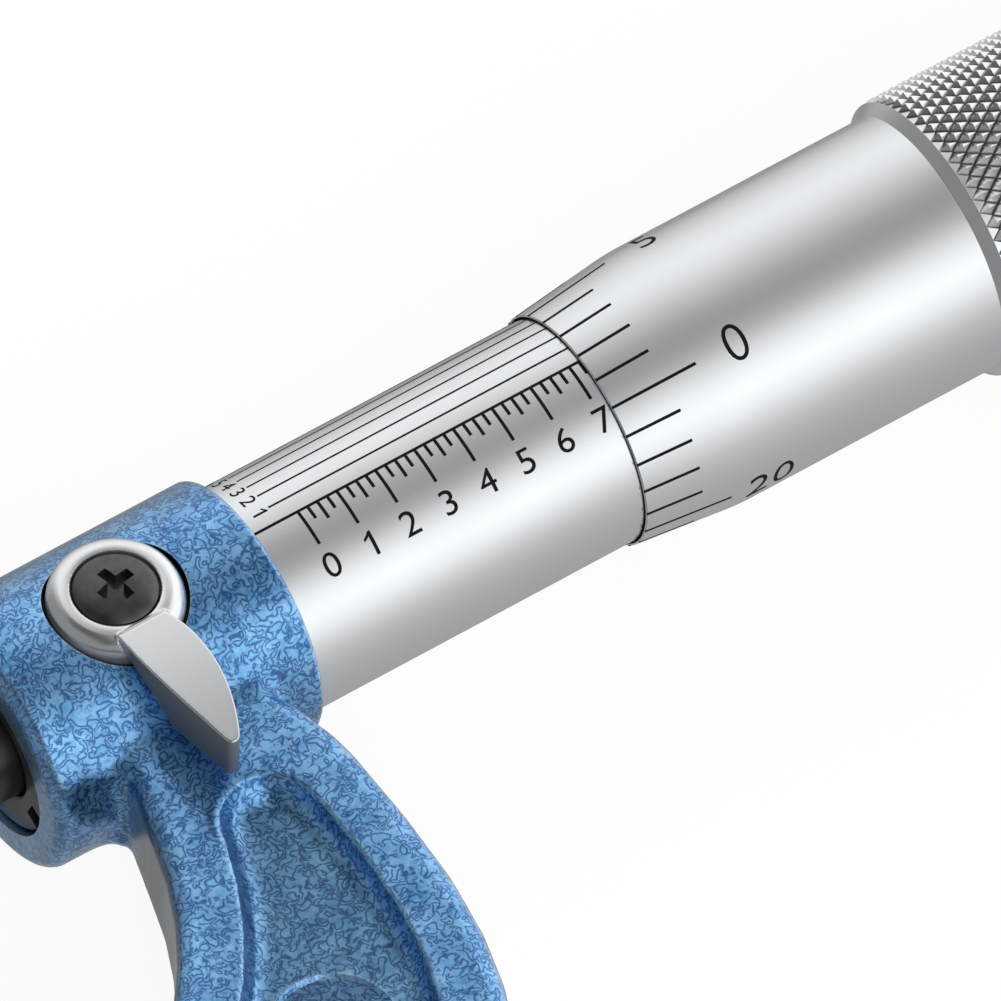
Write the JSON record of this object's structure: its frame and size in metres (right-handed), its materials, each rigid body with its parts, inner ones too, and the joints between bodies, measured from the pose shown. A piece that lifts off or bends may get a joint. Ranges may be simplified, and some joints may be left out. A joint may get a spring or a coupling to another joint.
{
  "type": "outside micrometer",
  "caption": "C-frame outside micrometer: a fine screw, read on a sleeve and a thimble, closes a carbide-faced spindle on an anvil; lock lever and ratchet stop.",
  "frame": {"origin": "centre of the anvil's measuring face, on the spindle's axis", "axes": "+X from the anvil along the spindle to the ratchet knob; +Z out of the frame's front face; the throat and the C of the frame lie towards -Y"},
  "size_m": [0.1422, 0.0545, 0.0175],
  "materials": {
    "blue_enamel": "light blue crackle enamel with darker veins",
    "satin_chrome": "satin chrome plate on steel",
    "ground_steel": "ground and lapped",
    "black_steel": "blackened steel, slightly glossy",
    "carbide": "lapped carbide",
    "felt": "oiled felt",
    "spring_steel": "drawn wire and sheet"
  },
  "bodies": {
    "frame": {"frame": "blue_enamel", "anvil": "ground_steel", "anvil_tip": "carbide", "spindle_gland": "black_steel", "spindle_seal": "felt", "clamp_collar": "ground_steel", "inner_sleeve": "ground_steel", "adjusting_nut": "ground_steel"},
    "sleeve": {"graduated_sleeve": "satin_chrome"},
    "lever": {"lock_lever": "satin_chrome", "lock_screw": "black_steel", "lock_stud": "ground_steel", "lock_washer": "ground_steel"},
    "tip": {"spindle_tip": "carbide"},
    "thimble": {"spindle": "ground_steel", "thimble": "satin_chrome", "ratchet_stem": "ground_steel", "end_washer": "spring_steel", "end_screw": "ground_steel"},
    "knob": {"ratchet_knob": "satin_chrome", "ratchet_spring": "spring_steel"},
    "pawl": {"ratchet_pawl": "ground_steel"}
  },
  "joints": [
    {"name": "sleeve_zero_setting", "type": "hinge", "parent": "frame", "child": "sleeve", "pos_m": [0.0501, 0, 0], "axis": [1, 0, 0], "range_deg": [-15, 15]},
    {"name": "lock_lever_turn", "type": "hinge", "parent": "frame", "child": "lever", "pos_m": [0.03838, 0, 0.0066], "axis": [0, 0, 1], "range_deg": [-30, 0]},
    {"name": "spindle_travel", "type": "slide", "parent": "frame", "child": "tip", "axis": [1, 0, 0], "range_m": [-0.01847, 0.00693]},
    {"name": "thimble_turn", "type": "hinge", "parent": "tip", "child": "thimble", "pos_m": [0.06857, 0, 0], "axis": [1, 0, 0], "range_deg": [-10472, 3929]},
    {"name": "ratchet_turn", "type": "hinge", "parent": "thimble", "child": "knob", "pos_m": [0.11257, 0, 0], "axis": [1, 0, 0], "continuous": true},
    {"name": "pawl_slide", "type": "slide", "parent": "knob", "child": "pawl", "axis": [1, 0, 0], "range_m": [0, 0.0005], "stiffness_N_per_m": 500, "springref_m": -0.002, "deforming": ["ratchet_spring"]}
  ],
  "couplings": [
    {"joint": "thimble_turn", "follows": "spindle_travel", "rad_per_m": 9894.8}
  ]
}
